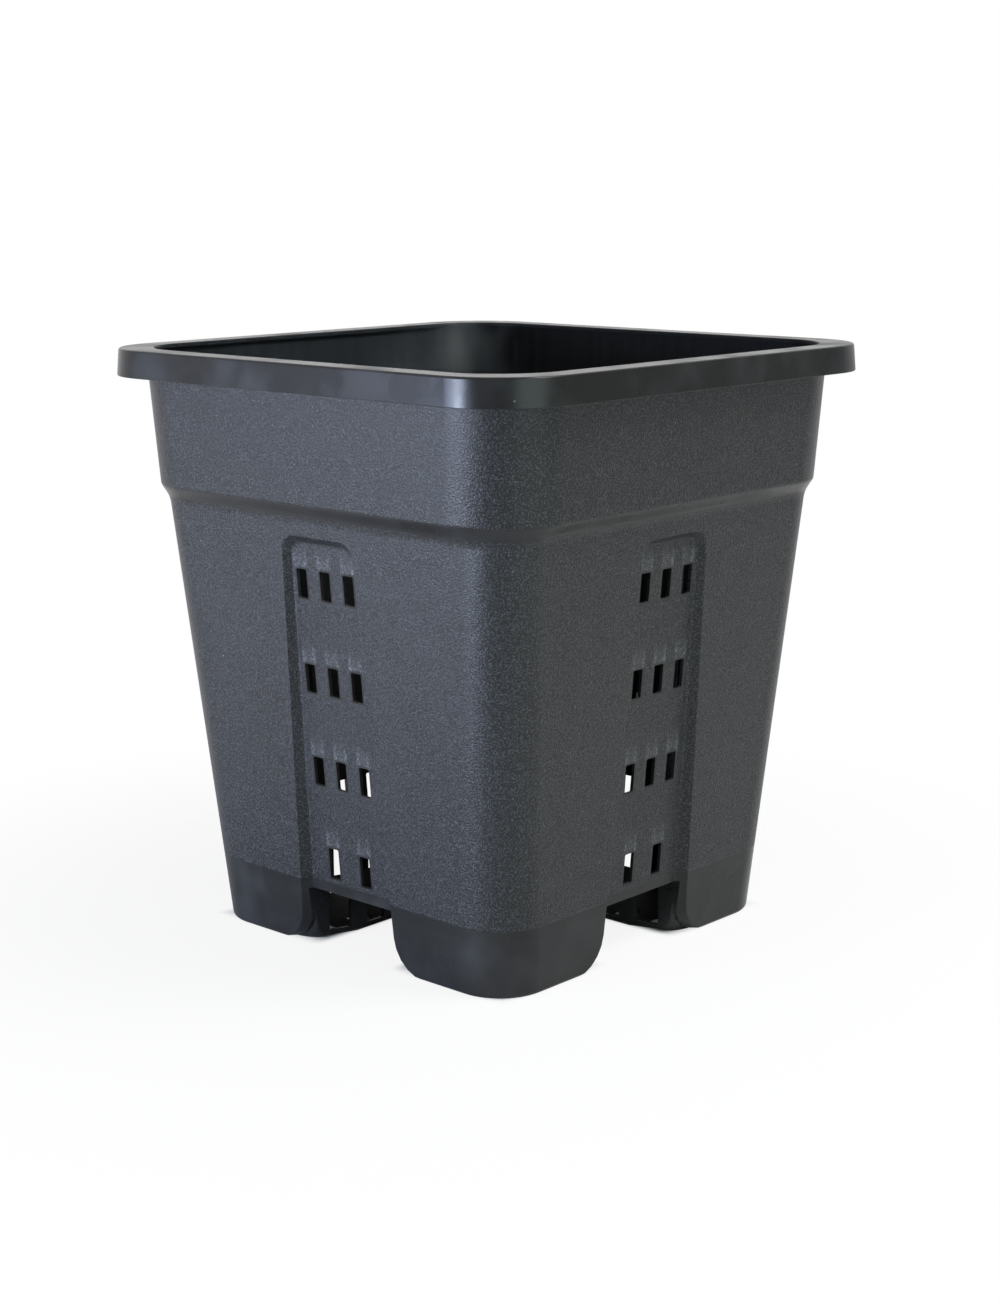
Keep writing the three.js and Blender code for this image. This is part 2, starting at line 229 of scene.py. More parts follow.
class ShapeTree(Tree):
    """A geometry tree with named inputs for the sizes it uses."""

    def __init__(self, name, sizes, boxes=(), parts=()):
        super().__init__(bpy.data.node_groups.new(name, "GeometryNodeTree"))
        self.group.interface.new_socket("Geometry", in_out="OUTPUT", socket_type="NodeSocketGeometry")
        for size in sizes:
            socket = self.group.interface.new_socket(size, in_out="INPUT", socket_type="NodeSocketFloat")
            socket.default_value = SIZES[size]
        for box in boxes:
            self.group.interface.new_socket(box, in_out="INPUT", socket_type="NodeSocketVector")
        for part in parts:
            self.group.interface.new_socket(part, in_out="INPUT", socket_type="NodeSocketBool")
        for finish in ("Outside", "Inside"):
            self.group.interface.new_socket(finish, in_out="INPUT", socket_type="NodeSocketMaterial")
        self.inlet = self.group.nodes.new("NodeGroupInput")

    def __getitem__(self, name):
        return Field(self, self.inlet.outputs[name])

    def pick(self, index, values):
        """The value, one of several, that belongs to a whole number."""
        node = self.node("GeometryNodeIndexSwitch", {"data_type": "VECTOR"}, {"Index": index})
        while len(node.index_switch_items) < len(values):
            node.index_switch_items.new()
        for place, value in enumerate(values):
            self.feed(node.inputs[place + 1], value)
        return Field(self, node.outputs[0])

    def choose(self, test, yes, no):
        """One number where a test holds, and another where it doesn't."""
        return self.value("GeometryNodeSwitch", {"input_type": "FLOAT"},
                          {"Switch": test, "False": no, "True": yes})

    def between(self, first, last, share):
        """A point part of the way from one vector to another."""
        node = self.node("ShaderNodeMix", {"data_type": "VECTOR"})
        self.feed(node.inputs[0], share)
        self.feed(node.inputs[4], first)
        self.feed(node.inputs[5], last)
        return Field(self, node.outputs[1])

    def rounded(self, before, corner, after, steps):
        """Points on the curve that rounds a corner between two points beside it."""
        points = []
        for step in range(steps + 1):
            share = step / steps
            first = self.between(before, corner, share)
            last = self.between(corner, after, share)
            points.append(self.between(first, last, share))
        return points

    def skin(self, rings, corners, place):
        """A closed solid through rings of corners, where place gives each corner's point."""
        tube = self.value("GeometryNodeMeshCylinder", {"fill_type": "NGON"},
                          {"Vertices": corners, "Side Segments": rings - 1})
        index = self.value("GeometryNodeInputIndex")
        ring = self.math("FLOOR", (index + 0.5) / corners)
        corner = index - ring * corners
        return self.value("GeometryNodeSetPosition",
                          feeds={"Geometry": tube, "Position": place(ring, corner)})

    def turned(self, shape, quarters=4):
        """Copies of a shape turned about the upright axis, a quarter each time."""
        points = self.value("GeometryNodePoints", feeds={"Count": quarters})
        turn = self.vector(0.0, 0.0, self.value("GeometryNodeInputIndex") * (math.pi / 2))
        copies = self.value("GeometryNodeInstanceOnPoints",
                            feeds={"Points": points, "Instance": shape, "Rotation": turn})
        return self.value("GeometryNodeRealizeInstances", feeds={"Geometry": copies})

    def solve(self, operation, first, *others):
        """The first solid joined with the others, cut by them, or kept only inside them."""
        node = self.node("GeometryNodeMeshBoolean", {"operation": operation, "solver": "MANIFOLD"})
        if operation == "DIFFERENCE":
            self.feed(node.inputs["Mesh 1"], first)
        else:
            self.feed(node.inputs["Mesh 2"], first)
        for other in others:
            self.feed(node.inputs["Mesh 2"], other)
        return Field(self, node.outputs["Mesh"])

    def box(self, low, high):
        """A box between two corners."""
        sizes = [top - bottom for bottom, top in zip(low, high)]
        middle = [(top + bottom) / 2 for bottom, top in zip(low, high)]
        cube = self.value("GeometryNodeMeshCube", feeds={"Size": self.vector(*sizes)})
        return self.value("GeometryNodeTransform",
                          feeds={"Geometry": cube, "Translation": self.vector(*middle)})

    def finish(self, shape, hollow):
        """Smooths the faces up to the creases, and gives the faces on a hollow's sides the inside finish."""
        merged = self.value("GeometryNodeMergeByDistance",
                            feeds={"Geometry": shape, "Distance": MERGE_DISTANCE})
        smooth = self.value("GeometryNodeSetShadeSmooth", {"domain": "FACE"},
                            {"Geometry": merged, "Shade Smooth": True})
        angle = self.value("GeometryNodeInputMeshEdgeAngle")
        creased = self.value("GeometryNodeSetShadeSmooth", {"domain": "EDGE"},
                             {"Geometry": smooth, "Selection": self.math("GREATER_THAN", angle, CREASE),
                              "Shade Smooth": False})
        whole = self.value("GeometryNodeRealizeInstances", feeds={"Geometry": creased})
        outside = self.value("GeometryNodeSetMaterial",
                             feeds={"Geometry": whole, "Material": self["Outside"]})
        distance = self.value("GeometryNodeProximity", feeds={"Geometry": hollow}, out=1)
        touching = self.math("LESS_THAN", distance, HOLLOW_TOUCH)
        inside = self.value("GeometryNodeSetMaterial",
                            feeds={"Geometry": outside, "Selection": touching, "Material": self["Inside"]})
        outlet = self.group.nodes.new("NodeGroupOutput")
        self.feed(outlet.inputs[0], inside)
        return self.group


def square_skin(tree, levels):
    """A solid of rounded squares, where each level, from low to high, is (height, half width, radius)."""
    levels = levels[::-1]
    count = CORNER_STEPS + 1

    def place(ring, corner):
        height, half, radius = tree.split(tree.pick(ring, levels))
        quarter = tree.math("FLOOR", (corner + 0.5) / count)
        step = corner - quarter * count
        angle = (quarter + step / CORNER_STEPS) * (math.pi / 2)
        turned = tree.math("FLOORED_MODULO", quarter + 1.0, 4.0)
        side_x = 1.0 - 2.0 * tree.math("FLOOR", turned / 2.0)
        side_y = 1.0 - 2.0 * tree.math("FLOOR", quarter / 2.0)
        centre = half - radius
        x = side_x * centre + radius * tree.math("COSINE", angle)
        y = side_y * centre + radius * tree.math("SINE", angle)
        return tree.vector(x, y, height)

    return tree.skin(len(levels), 4 * count, place)


def body_half(tree, height):
    """Half the body's width at a height."""
    growth = (tree["Body Top Width"] - tree["Body Ground Width"]) / tree["Body Top Height"]
    return (tree["Body Ground Width"] + growth * height) / 2.0


def collar_height(tree):
    """The height where the shoulder ends and the collar starts."""
    return tree["Body Top Height"] + tree["Shoulder Height"]


def collar_half(tree, height):
    """Half the collar's width at a height."""
    share = (height - collar_height(tree)) / (tree["Pot Height"] - collar_height(tree))
    return (tree["Collar Low Width"] + (tree["Collar Top Width"] - tree["Collar Low Width"]) * share) / 2.0


def pot_skin(tree, inset):
    """The body and collar's outside as a solid, or its inside where an inset is given."""
    edge = tree["Ground Edge Radius"]
    body_radius = tree["Body Corner Radius"] - inset
    collar_radius = tree["Collar Corner Radius"] - inset
    levels = []
    for step in range(EDGE_STEPS + 1):
        angle = (math.pi / 2) * (step / EDGE_STEPS)
        height = edge * (1 - math.cos(angle)) + inset
        drawn_in = edge * (1 - math.sin(angle))
        levels.append(tree.vector(height, body_half(tree, height) - drawn_in - inset, body_radius - drawn_in))
    rise = inset * 0.5
    low_bend = 0.0032
    high_bend = 0.0012
    low = tree["Body Top Height"]
    high = collar_height(tree)
    top = tree["Pot Height"] + REACH
    body_top = tree.vector(low + rise, body_half(tree, low) - inset, body_radius)
    collar_low = tree.vector(high + rise, collar_half(tree, high) - inset, collar_radius)
    under = tree.vector(low + rise - low_bend, body_half(tree, low - low_bend) - inset, body_radius)
    over = tree.vector(high + rise + high_bend, collar_half(tree, high + high_bend) - inset, collar_radius)
    levels += tree.rounded(under, body_top, tree.between(body_top, collar_low, 0.42), 5)
    levels += tree.rounded(tree.between(collar_low, body_top, 0.14), collar_low, over, 4)
    levels.append(tree.vector(top, collar_half(tree, top) - inset, collar_radius))
    return square_skin(tree, levels)


def mirrored(tree, corner, side_corners):
    """The side, 1 or -1, and the place along it of a corner in an outline that runs up and then down."""
    left = tree.math("GREATER_THAN", corner, side_corners - 0.5)
    along = tree.choose(left, 2.0 * side_corners - 1.0 - corner, corner)
    return 1.0 - 2.0 * left, along


def gap_skin(tree, inset):
    """The air gap under the floor from front to back, or with an inset the space that its wall takes."""
    face = body_half(tree, 0.0)
    wide = tree["Gap Mouth Width"] / 2.0
    narrow = tree["Gap Width"] / 2.0
    back = face - tree["Channel Ground Depth"]
    stations = [
        (tree["Rim Width"] / 2.0 + REACH, wide, tree["Foot Corner Radius"]),
        (back, wide, tree["Foot Corner Radius"]),
    ]
    for step in range(1, 6):
        turn = (math.pi / 2) * (step / 5)
        depth = back + (face - tree["Foot Corner Depth"] - back) * (1.0 - math.cos(turn))
        edge, corner = tree["Foot Edge Radius"], tree["Foot Corner Radius"]
        radius = edge + (corner - edge) * (1.0 - math.sin(turn))
        stations.append((depth, wide, radius))
    stations += [
        (face - tree["Mouth Depth"], wide, tree["Foot Edge Radius"]),
        (face - tree["Mouth Depth"] - tree["Mouth Taper"], narrow, tree["Foot Edge Radius"]),
    ]
    front = [tree.vector(-along, half, radius) for along, half, radius in stations]
    rear = [tree.vector(along, half, radius) for along, half, radius in stations[::-1]]
    side_corners = EDGE_STEPS + 3

    def place(ring, corner):
        along, half, radius = tree.split(tree.pick(ring, front + rear))
        side, spot = mirrored(tree, corner, side_corners)
        angle = tree.clamp((spot - 1.0) / EDGE_STEPS) * (math.pi / 2)
        across = half + radius - (radius - inset) * tree.math("SINE", angle)
        height = radius - (radius - inset) * tree.math("COSINE", angle)
        at_top = tree.math("GREATER_THAN", spot, EDGE_STEPS + 1.5)
        at_base = tree.math("LESS_THAN", spot, 0.5)
        height = tree.choose(at_top, tree["Gap Height"] + inset, height)
        height = tree.choose(at_base, -CLEARANCE, height)
        return tree.vector(side * across, along, height)

    return tree.skin(len(front + rear), 2 * side_corners, place)


def channel_share(tree, height, low, high):
    """A size of the vent channel at a height, between its sizes at the ground and at its top."""
    return tree[low] + (tree[high] - tree[low]) * (height / tree["Channel Top Height"])


def channel_skin(tree, inset, softened):
    """The front vent channel's hollow, or with an inset the space that its wall takes from the inside."""
    lean = tree["Channel Side Lean"]
    slope = lean / tree["Channel Top Depth"]
    if softened:
        # Rings as (share of the channel's depth, further out, wider), from the front to the back.
        crest = ((1.0, 0.00009, 0.0007), (1.0, 0.00006, 0.0), (1.0, -0.00058, -0.00046))
        heel = ((0.0, 0.0009, 0.0007), (0.0, 0.0, 0.0), (0.0, 0.0, -0.0011))
        rings = [tree.vector(1.0, REACH, 0.009)]
        for bend in (crest, heel):
            rings += tree.rounded(*[tree.vector(*ring) for ring in bend], 4)
    else:
        rings = [tree.vector(0.0, REACH, REACH * slope), tree.vector(0.0, -inset, 0.0)]
    side_corners = 2 * EDGE_STEPS + 3
    flare = tree["Foot Corner Radius"]
    round_top = tree["Channel Corner Radius"] + inset

    def place(ring, corner):
        share, out, wider = tree.split(tree.pick(ring, rings))
        side, spot = mirrored(tree, corner, side_corners)
        low_angle = tree.clamp((spot - 1.0) / EDGE_STEPS) * (math.pi / 2)
        high_angle = tree.clamp((spot - EDGE_STEPS - 2.0) / EDGE_STEPS) * (math.pi / 2)
        at_top = tree.math("GREATER_THAN", spot, EDGE_STEPS + 1.5)
        at_base = tree.math("LESS_THAN", spot, 0.5)
        widening = wider - lean + share * slope * tree["Channel Ground Depth"]
        low_height = flare - (flare - inset) * tree.math("COSINE", low_angle)
        top_widening = wider - lean + share * slope * tree["Channel Top Depth"]
        top = tree["Channel Top Height"] + top_widening + inset
        high_height = top - round_top + round_top * tree.math("SINE", high_angle)
        height = tree.choose(at_top, high_height, low_height)
        height = tree.choose(at_base, -CLEARANCE, height)
        half = channel_share(tree, height, "Channel Ground Width", "Channel Top Width") / 2.0
        low_across = half + widening + flare - (flare - inset) * tree.math("SINE", low_angle)
        high_across = half + top_widening + inset - round_top * (1.0 - tree.math("COSINE", high_angle))
        across = tree.choose(at_top, high_across, low_across)
        depth = channel_share(tree, height, "Channel Ground Depth", "Channel Top Depth")
        back = body_half(tree, height) - depth
        return tree.vector(side * across, -(back + share * depth + out), height)

    return tree.skin(len(rings), 2 * side_corners, place)


def slot_shapes(tree, count, place, width, height, depth, softness, turn=(0.0, 0.0, 0.0),
                stretch=(1.0, 1.0, 1.0)):
    """Slot-shaped plugs with softened corners, one for each index, that point along the depth."""
    outline = tree.value("GeometryNodeCurvePrimitiveQuadrilateral", feeds={"Width": width, "Height": height})
    softened = tree.value("GeometryNodeFilletCurve", {"mode": "POLY"},
                          {"Curve": outline, "Count": 3, "Radius": softness, "Limit Radius": True})
    path = tree.value("GeometryNodeCurvePrimitiveLine", {"mode": "POINTS"},
                      {"Start": (0.0, 0.0, -depth / 2), "End": (0.0, 0.0, depth / 2)})
    plug = tree.value("GeometryNodeCurveToMesh",
                      feeds={"Curve": path, "Profile Curve": softened, "Fill Caps": True})
    points = tree.value("GeometryNodePoints",
                        feeds={"Count": count, "Position": place(tree.value("GeometryNodeInputIndex"))})
    plugs = tree.value("GeometryNodeInstanceOnPoints",
                       feeds={"Points": points, "Instance": plug, "Rotation": turn, "Scale": stretch})
    return tree.value("GeometryNodeRealizeInstances", feeds={"Geometry": plugs})


def air_slots(tree):
    """Plugs for the front channel's air slots: two in the low row, and three in each row above."""
    def place(index):
        low = tree.math("LESS_THAN", index, 1.5)
        above = index - 2.0
        row = tree.math("FLOOR", (above + 0.5) / 3.0)
        column = above - row * 3.0
        across = tree.choose(low, (index - 0.5) * tree["Low Row Pitch"], (column - 1.0) * tree["Slot Pitch"])
        height = tree["Low Row Height"] + tree.choose(low, 0.0, (row + 1.0) * tree["Slot Row Pitch"])
        depth = channel_share(tree, height, "Channel Ground Depth", "Channel Top Depth")
        return tree.vector(across, depth + tree["Wall"] / 2.0 - body_half(tree, height), height)

    low = tree.math("LESS_THAN", tree.value("GeometryNodeInputIndex"), 1.5)
    taller = tree.choose(low, tree["Low Slot Height"] / tree["Slot Height"], 1.0)
    return slot_shapes(tree, 11, place, tree["Slot Width"], tree["Slot Height"], depth=0.0075,
                       softness=0.0007, turn=(math.pi / 2, 0.0, 0.0), stretch=tree.vector(1.0, taller, 1.0))


def foot_slots(tree):
    """Plugs for the upright slots in the feet's sides, beside the front end of the air gap."""
    def place(index):
        side = 1.0 - 2.0 * tree.math("GREATER_THAN", index, 1.5)
        slot = tree.math("FLOORED_MODULO", index, 2.0)
        along = body_half(tree, 0.0) - tree["Foot Slot Start"] - slot * tree["Foot Slot Pitch"]
        across = side * (tree["Gap Width"] / 2.0 + 0.0034)
        return tree.vector(across, -along, (tree["Foot Slot Sill"] + tree["Foot Slot Top"]) / 2.0)

    tall = tree["Foot Slot Top"] - tree["Foot Slot Sill"]
    return slot_shapes(tree, 4, place, tree["Foot Slot Width"], tall, depth=0.0088, softness=0.001,
                       turn=(math.pi / 2, 0.0, math.pi / 2))


def drain_slots(tree):
    """Plugs for the drain slots through the feet's bottoms, beside the front end of the air gap."""
    def place(index):
        side = 1.0 - 2.0 * tree.math("GREATER_THAN", index, 1.5)
        slot = tree.math("FLOORED_MODULO", index, 2.0)
        along = body_half(tree, 0.0) - tree["Foot Slot Start"] - slot * tree["Foot Slot Pitch"]
        across = tree["Gap Width"] / 2.0 + tree["Drain Slot Setback"] + tree["Drain Slot Length"] / 2.0
        return tree.vector(side * across, -along, tree["Wall"] / 2.0)

    return slot_shapes(tree, 4, place, tree["Drain Slot Length"], tree["Foot Slot Width"], depth=0.0044,
                       softness=0.001)


def floor_slots(tree):
    """Plugs for the drain slots through the front arm of the raised floor."""
    def place(index):
        row = tree.math("FLOOR", (index + 0.5) / 3.0)
        column = index - row * 3.0
        along = tree["Floor Slot Start"] + row * tree["Floor Slot Row Pitch"]
        across = (column - 1.0) * tree["Floor Slot Pitch"]
        return tree.vector(across, -along, tree["Gap Height"] + tree["Wall"] / 2.0)

    return slot_shapes(tree, 6, place, tree["Slot Width"], tree["Slot Height"], depth=0.004, softness=0.0007)


def shell_tree():
    """The pot's thin shell inside a zone, or for a corner wall what the panels and the floor leave of it."""
    rim_only = ("Rim Flare", "Rim Corner", "Rim Depth", "Rim Edge", "Lip", "Flange", "Mouth Bead")
    names = [name for name in SIZES if not name.startswith(rim_only)]
    tree = ShapeTree("pot_shell_shape", names, ("Zone Low", "Zone High"), ("Corner Wall",))
    wall = tree["Wall"]
    gap = gap_skin(tree, 0.0)
    gaps = tree.solve("UNION", gap, tree.value("GeometryNodeTransform", feeds={
        "Geometry": gap, "Rotation": (0.0, 0.0, math.pi / 2)}))
    lining = gap_skin(tree, wall)
    linings = tree.solve("UNION", lining, tree.value("GeometryNodeTransform", feeds={
        "Geometry": lining, "Rotation": (0.0, 0.0, math.pi / 2)}))
    soil = tree.solve("DIFFERENCE", pot_skin(tree, wall), tree.turned(channel_skin(tree, wall, False)))
    soil = tree.solve("DIFFERENCE", soil, linings)
    shell = tree.solve("DIFFERENCE", pot_skin(tree, 0.0), soil)
    shell = tree.solve("DIFFERENCE", shell, tree.turned(channel_skin(tree, 0.0, True)))
    shell = tree.solve("DIFFERENCE", shell, gaps)
    for plugs in (air_slots(tree), foot_slots(tree), drain_slots(tree), floor_slots(tree)):
        shell = tree.solve("DIFFERENCE", shell, tree.turned(plugs))
    zone = tree.box(tree.split(tree["Zone Low"]), tree.split(tree["Zone High"]))
    part = tree.solve("INTERSECT", shell, zone)
    wall_part = tree.solve("DIFFERENCE", part, tree.turned(panel_zone(tree)))
    wall_part = tree.solve("DIFFERENCE", wall_part, floor_zone(tree))
    wanted = tree.node("GeometryNodeSwitch", {"input_type": "GEOMETRY"},
                       {"Switch": tree["Corner Wall"], "False": part, "True": wall_part})
    return tree.finish(Field(tree, wanted.outputs[0]), soil)


def panel_zone(tree):
    """The upright strip that the front vent channel takes."""
    return tree.box((-PANEL_HALF, -BEYOND, 0.0), (PANEL_HALF, -PANEL_FACE, WALL_TOP + REACH))


def floor_zone(tree):
    """The cross that the raised floor takes."""
    arm = tree.box((-PANEL_HALF, -PANEL_FACE, 0.0), (PANEL_HALF, PANEL_FACE, FLOOR_TOP))
    other = tree.value("GeometryNodeTransform", feeds={"Geometry": arm, "Rotation": (0.0, 0.0, math.pi / 2)})
    return tree.solve("UNION", arm, other)


def rim_tree():
    """The rim: a flange with a bead inside the mouth, and the lip that hangs from its edge."""
    rim_uses = ("Rim", "Lip", "Flange", "Mouth Bead", "Pot", "Wall", "Body Top Height", "Shoulder", "Collar")
    names = [name for name in SIZES if name.startswith(rim_uses)]
    tree = ShapeTree("rim_shape", names)
    top = tree["Pot Height"]
    low = top - tree["Rim Depth"]
    half = tree["Rim Width"] / 2.0
    flare = tree["Rim Flare"]
    radius = tree["Rim Corner Radius"]
    edge = tree["Rim Edge Radius"]

    def outside(height, inset):
        share = (top - height) / tree["Rim Depth"]
        return tree.vector(height, half + flare * share - inset, radius - inset)

    levels = tree.rounded(outside(low, 0.0005), outside(low, 0.0), outside(low + 0.0006, 0.0), 3)
    levels += tree.rounded(outside(top - edge, 0.0), outside(top, 0.0), outside(top, edge), 5)
    outer = square_skin(tree, levels)
    under = top - tree["Flange Thickness"]
    lip = tree["Lip Thickness"]
    inner = square_skin(tree, [outside(low - CLEARANCE, lip - 0.0007), outside(low + 0.0006, lip),
                               outside(under, lip)])
    solid = tree.solve("DIFFERENCE", outer, inner)
    collar_radius = tree["Collar Corner Radius"]
    bead = tree["Wall"] + tree["Mouth Bead"]
    corner = collar_radius - bead

    def mouth(height, inset):
        return tree.vector(height, collar_half(tree, height) - bead - inset, corner - inset)

    hole = [mouth(under - 0.004, 0.0)]
    hole += tree.rounded(mouth(top - 0.0009, 0.0), mouth(top - 0.00002, 0.0),
                         mouth(top + 0.00006, -0.0009), 4)
    hole.append(mouth(top + REACH, -0.003))
    mouth_skin = square_skin(tree, hole)
    solid = tree.solve("DIFFERENCE", solid, mouth_skin)
    collar_space = square_skin(tree, [tree.vector(low - CLEARANCE, collar_half(tree, low), collar_radius),
                                      tree.vector(under, collar_half(tree, under), collar_radius)])
    solid = tree.solve("DIFFERENCE", solid, collar_space)
    hollows = tree.node("GeometryNodeJoinGeometry")
    for hollow in (inner, mouth_skin):
        tree.feed(hollows.inputs[0], hollow)
    return tree.finish(solid, Field(tree, hollows.outputs[0]))


def made(name, group, outside, inside, **changes):
    """The piece that a shape tree makes, as a plain mesh with its own name."""
    piece = bpy.data.objects.new(name, bpy.data.meshes.new(name))
    bpy.context.collection.objects.link(piece)
    shape = piece.modifiers.new("Shape", "NODES")
    shape.node_group = group
    values = {**SIZES, "Outside": outside, "Inside": inside, "Corner Wall": False, **changes}
    for socket in group.interface.items_tree:
        if socket.in_out == "INPUT":
            shape[socket.identifier] = values[socket.name]
    shading = piece.modifiers.new("Shading", "WEIGHTED_NORMAL")
    shading.keep_sharp = True
    shading.weight = 100
    settled = bpy.context.evaluated_depsgraph_get()
    mesh = bpy.data.meshes.new_from_object(piece.evaluated_get(settled), preserve_all_data_layers=True,
                                           depsgraph=settled)
    piece.modifiers.clear()
    piece.data = mesh
    mesh.name = name
    return piece


def new_finish(name):
    """A new material, its tree, and its surface shader."""
    material = bpy.data.materials.new(name)
    material.use_nodes = True
    tree = Tree(material.node_tree)
    shader = material.node_tree.nodes["Principled BSDF"]
    return material, tree, shader


def object_place(tree):
    """A point's place on its piece, in metres."""
    return tree.value("ShaderNodeTexCoord", out="Object")


def noise(tree, place, scale, detail=2.0, roughness=0.5):
    """Soft random values about a half."""
    return tree.value("ShaderNodeTexNoise", feeds={"Vector": place, "Scale": scale, "Detail": detail,
                                                   "Roughness": roughness})


def mixed(tree, share, first, last):
    """A colour part of the way between two."""
    node = tree.node("ShaderNodeMix", {"data_type": "RGBA"})
    tree.feed(node.inputs[0], share)
    tree.feed(node.inputs[6], first)
    tree.feed(node.inputs[7], last)
    return Field(tree, node.outputs[2])


def dust(tree, place):
    """Tiny pale specks of dust, a few in each hand's breadth."""
    spot = tree.value("ShaderNodeTexVoronoi", {"feature": "F1"}, {"Vector": place, "Scale": DUST_SCALE})
    size = noise(tree, place, SCUFF_SCALE) * 0.05
    return 1.0 - tree.ramp(spot, 0.0, size)


def slot_place(tree, place):
    """A point's distance from its nearest air slot's middle, across and up, half that slot's height, and 1 on a
    vent panel or 0 off it.
    """
    x, y, z = tree.split(place)
    across = tree.math("MINIMUM", tree.math("ABSOLUTE", x), tree.math("ABSOLUTE", y))
    row = tree.math("ROUND", (z - SIZES["Low Row Height"]) / SIZES["Slot Row Pitch"])
    row = tree.clamp(row, 0.0, LAST_SLOT_ROW)
    low = tree.math("LESS_THAN", row, 0.5)
    column = tree.math("MINIMUM", tree.math("ROUND", across / SIZES["Slot Pitch"]), 1.0)
    middle = low * (SIZES["Low Row Pitch"] / 2) + (1.0 - low) * column * SIZES["Slot Pitch"]
    beside = tree.math("ABSOLUTE", across - middle)
    above = z - SIZES["Low Row Height"] - row * SIZES["Slot Row Pitch"]
    half_height = SIZES["Slot Height"] / 2 + low * ((SIZES["Low Slot Height"] - SIZES["Slot Height"]) / 2)
    panel = 1.0 - tree.ramp(across, *PANEL_EDGE)
    return beside, above, half_height, panel


def flow_marks(tree, place):
    """The pale speckled marks that the melt leaves above each air slot, mostly in line with its two sides."""
    beside, above, half_height, panel = slot_place(tree, place)
    rise = above - half_height
    tail = tree.ramp(rise, -0.0003, 0.0006) * (1.0 - tree.ramp(rise, 0.002, 0.013))
    beside_edge = tree.math("ABSOLUTE", beside - SIZES["Slot Width"] / 2)
    lines = 1.0 - tree.ramp(beside_edge, 0.0004, 0.0019)
    strip = 1.0 - tree.ramp(beside, 0.0034, 0.0052)
    speckle = tree.ramp(noise(tree, place, SPECKLE_SCALE, 2.0, 0.8), 0.46, 0.64)
    return tail * panel * (0.10 + 0.90 * speckle) * tree.math("MAXIMUM", 0.45 * strip, lines)


def slot_lands(tree, place):
    """The narrow smooth border round each air slot, where the mould's two halves shut."""
    beside, above, half_height, panel = slot_place(tree, place)
    sideways = beside - SIZES["Slot Width"] / 2
    upright = tree.math("ABSOLUTE", above) - half_height
    return panel * (1.0 - tree.ramp(tree.math("MAXIMUM", sideways, upright), 0.0006, 0.0014))


def moulded_plastic(name, textured, depth, shine):
    """Charcoal plastic: satin where the mould is polished, and with a fine sandy grain where it is textured.

    The depth sets how far its tone lies from dark to pale, and the shine is its specular level.
    """
    material, tree, shader = new_finish(name)
    place = object_place(tree)
    x, y, height = tree.split(place)
    if textured:
        band_low, band_high = SHOULDER_BAND
        above_foot = tree.ramp(height, GRAIN_FOOT - TEXTURE_EDGE, GRAIN_FOOT + TEXTURE_EDGE)
        # The sloping band at the shoulder is kept smooth, and painted darker as shade below the collar.
        smooth_shaded_band = tree.ramp(height, band_low - 0.0003, band_low + 0.0007) * (
            1.0 - tree.ramp(height, band_high - 0.0005, band_high + 0.0005))
        # Painted shade: the collar, under the rim's overhang, is painted darker than the body.
        collar_shade = tree.ramp(height, band_high - 0.0005, band_high + 0.0005)
        grain = above_foot * (1.0 - 0.9 * smooth_shaded_band) * (1.0 - 0.8 * slot_lands(tree, place))
    else:
        grain = collar_shade = smooth_shaded_band = 0.0
    sand = noise(tree, place, SAND_SCALE, 1.5, 0.6)
    grit = noise(tree, place, GRIT_SCALE, 2.0, 0.7)
    clouds = noise(tree, place, CLOUD_SCALE, 3.0, 0.55)
    streaks = noise(tree, tree.vector(x * 45.0, y * 45.0, height * 5.0), 1.0, 2.0, 0.5)
    scuffs = tree.ramp(noise(tree, place, SCUFF_SCALE, 2.0, 0.6), 0.42, 0.80) * (1.0 - grain)
    marks = flow_marks(tree, place) * grain

    tone = depth + 0.35 * (clouds - 0.5) + 0.35 * (streaks - 0.5) + grain * 1.4 * (sand - 0.5)
    tone = tone - 0.10 * (1.0 - grain) - 0.18 * collar_shade - 0.24 * smooth_shaded_band
    base = mixed(tree, tree.clamp(tone), DARK_PLASTIC, PALE_PLASTIC)
    base = mixed(tree, 0.5 * (1.0 - grain), base, POLISHED_PLASTIC)
    # Painted glints: pale specks mixed into the grain's base colour in place of light glinting off it.
    painted_glints = grain * tree.ramp(0.45 * sand + 0.55 * grit, 0.50, 0.60)
    base = mixed(tree, painted_glints * 0.52, base, PAINTED_GLINT)
    base = mixed(tree, scuffs * 0.05, base, SCUFF_GREY)
    base = mixed(tree, marks * 0.30, base, FLOW_MARK_GREY)
    base = mixed(tree, dust(tree, place) * 0.6, base, DUST_GREY)
    tree.feed(shader.inputs["Base Color"], base)

    satin = 0.25 + 0.10 * (clouds - 0.4) + 0.20 * scuffs
    rough = 0.38 + 0.12 * (clouds - 0.5) + 0.3 * (grit - 0.5) + 0.2 * marks
    tree.feed(shader.inputs["Roughness"], tree.clamp(satin + grain * (rough - satin)))

    relief = grain * (0.7 * sand + 0.3 * grit) + 0.5 * (1.0 - grain) * noise(tree, place, RIPPLE_SCALE, 2.0)
    bump = tree.value("ShaderNodeBump", feeds={"Strength": 1.0, "Distance": 0.00036, "Height": relief})
    tree.feed(shader.inputs["Normal"], bump)
    shader.inputs["Specular IOR Level"].default_value = shine
    return material


